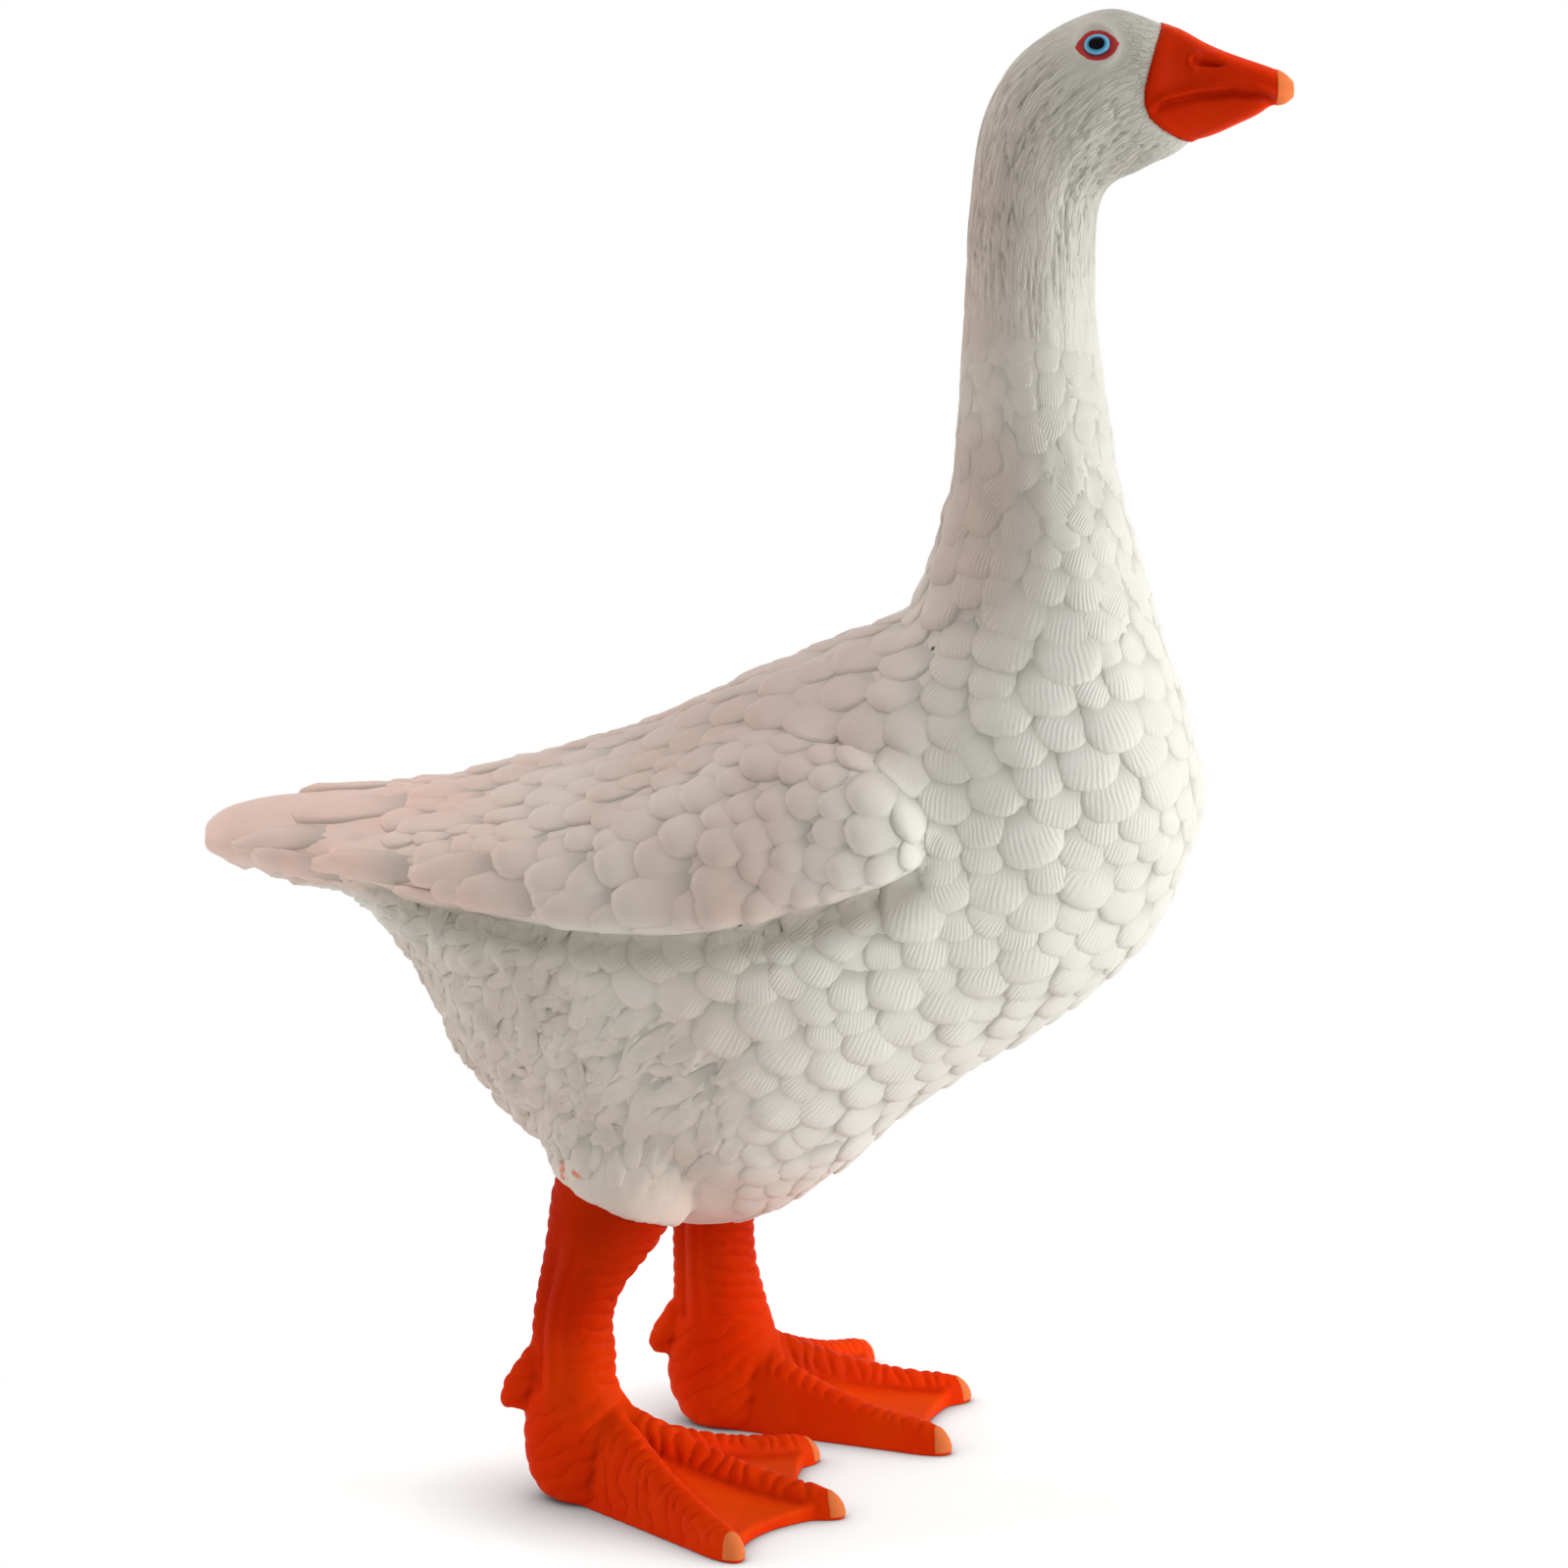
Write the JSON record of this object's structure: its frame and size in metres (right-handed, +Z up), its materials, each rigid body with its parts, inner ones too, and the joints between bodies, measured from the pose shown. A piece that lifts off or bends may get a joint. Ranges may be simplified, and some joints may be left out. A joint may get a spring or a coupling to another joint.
{
  "type": "goose figurine",
  "caption": "Standing goose figurine with folded wings, upright neck, carved feathers and webbed feet, moulded in one piece.",
  "frame": {"origin": "centre of the figurine's outer size, on the ground", "axes": "+X towards the bill, +Z up from the soles"},
  "size_m": [0.0549, 0.0331, 0.0756],
  "materials": {
    "white_plastic": "matte white plastic with finely carved feathers",
    "orange_paint": "satin orange paint on the bill, legs and feet",
    "eye_paint": "blue iris, black pupil and pink rim, painted"
  },
  "bodies": {
    "root": {"goose": "white_plastic"}
  },
  "joints": []
}
